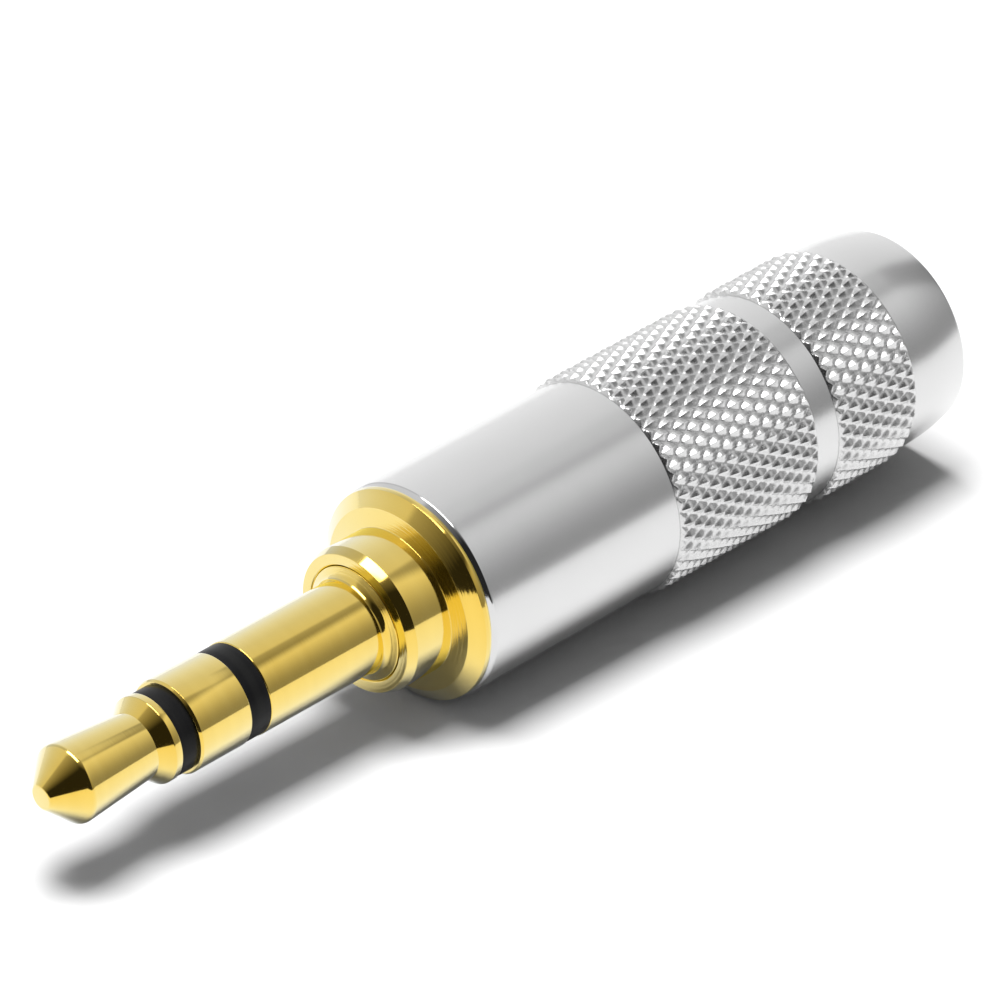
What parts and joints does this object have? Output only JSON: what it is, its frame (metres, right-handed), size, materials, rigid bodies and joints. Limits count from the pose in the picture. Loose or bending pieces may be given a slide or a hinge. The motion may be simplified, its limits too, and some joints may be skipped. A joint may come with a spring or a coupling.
{
  "type": "stereo mini jack plug",
  "caption": "Straight stereo jack plug with a gilt pin, a stepped collar and flange, and a diamond-knurled satin barrel that unscrews from the solder tags.",
  "frame": {"origin": "centre of the barrel's flat cable end", "axes": "+Z along the plug's axis towards the tip, +X on the side of the ring's solder tag, +Y on the side of the ground terminal's tail"},
  "size_m": [0.0086, 0.0084, 0.0413],
  "materials": {
    "gilt": "polished gold plate on turned brass",
    "satin_barrel": "satin chrome plate on turned brass",
    "black_plastic": "satin black",
    "tinned_tag": "tinned stamped sheet",
    "tube_plastic": "milky extruded tube"
  },
  "bodies": {
    "barrel": {"barrel": "satin_barrel"},
    "tube": {"insulating_tube": "tube_plastic"},
    "plug": {"tip_contact": "gilt", "tip_insulator": "black_plastic", "ring_contact": "gilt", "ring_insulator": "black_plastic", "sleeve_contact": "gilt", "plug_collar": "gilt", "rear_insulator": "black_plastic", "ring_terminal": "tinned_tag", "terminal_insulator": "black_plastic", "tip_terminal": "tinned_tag", "ground_terminal": "tinned_tag"}
  },
  "joints": [
    {"name": "plug_lift", "type": "slide", "parent": "barrel", "child": "tube", "axis": [0, 0, 1], "range_m": [0, 0.0045]},
    {"name": "plug_turn", "type": "hinge", "parent": "tube", "child": "plug", "pos_m": [0, 0, 0.0241], "axis": [0, 0, 1], "range_deg": [0, 2160]}
  ],
  "couplings": [
    {"joint": "plug_turn", "follows": "plug_lift", "rad_per_m": 8377.6}
  ]
}
